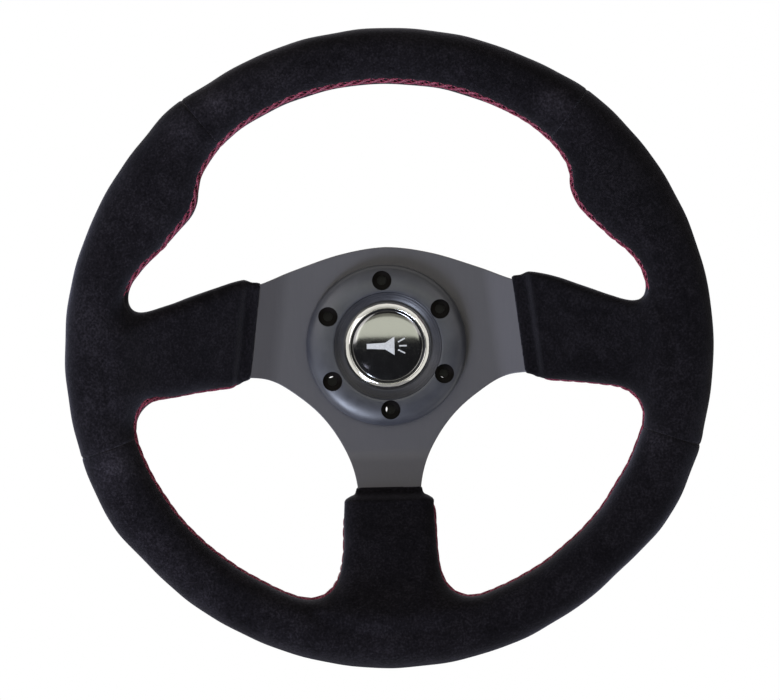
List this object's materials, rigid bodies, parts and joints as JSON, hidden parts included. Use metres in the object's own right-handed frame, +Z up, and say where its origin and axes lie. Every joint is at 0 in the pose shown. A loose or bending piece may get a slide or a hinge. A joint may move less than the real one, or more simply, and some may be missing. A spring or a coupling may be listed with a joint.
{
  "type": "steering wheel",
  "caption": "three-spoke dished steering wheel with a padded suede rim, padded arm covers, a six-hole hub plate with a trim ring and a spring-loaded horn button",
  "frame": {"origin": "centre of the six-bolt circle on the rear face of the hub plate, where the wheel seats on its hub boss", "axes": "+Y points away from the driver along the steering axis, into the hub boss; +Z is up with the wheel straight ahead; +X is the driver's right"},
  "size_m": [0.35, 0.0678, 0.3494],
  "materials": {
    "anodised_plate": "matt dark grey anodised, lightly brushed",
    "mill_aluminium": "mill finish, hidden in the foam",
    "steel": "zinc plated",
    "moulded_foam": "moulded polyurethane foam, hidden under the covers",
    "black_suede": "napped black suede",
    "red_thread": "waxed red thread",
    "satin_black_metal": "satin black anodised",
    "satin_black_plastic": "satin black moulded",
    "chrome": "polished",
    "gloss_black": "gloss black print",
    "clear_resin": "clear domed resin",
    "brass": "stamped, bright"
  },
  "bodies": {
    "wheel": {"spoke_plate": "anodised_plate", "rim_ring": "mill_aluminium", "spoke_rivet_1": "steel", "spoke_rivet_2": "steel", "spoke_rivet_3": "steel", "spoke_rivet_4": "steel", "spoke_rivet_5": "steel", "spoke_rivet_6": "steel", "rim_foam": "moulded_foam", "cover_upper": "black_suede", "cover_left": "black_suede", "cover_lower": "black_suede", "cover_right": "black_suede", "stitching_upper": "red_thread", "stitching_lower_left": "red_thread", "stitching_lower_right": "red_thread", "horn_ring": "satin_black_metal", "button_body": "satin_black_plastic", "fixed_contact": "brass", "terminal_horn": "brass", "terminal_ground": "brass", "return_spring_1": "steel", "return_spring_2": "steel", "return_spring_3": "steel"},
    "horn_button": {"button_cap": "satin_black_plastic", "button_chrome_ring": "chrome", "button_emblem": "gloss_black", "button_dome": "clear_resin", "moving_contact": "brass", "shoulder_screw_1": "steel", "shoulder_screw_2": "steel", "shoulder_screw_3": "steel"}
  },
  "joints": [
    {"name": "horn_press", "type": "slide", "parent": "wheel", "child": "horn_button", "axis": [0, 1, 0], "range_m": [0, 0.0025], "stiffness_N_per_m": 2000, "springref_m": -0.0025, "deforming": ["return_spring_1", "return_spring_2", "return_spring_3"]}
  ]
}
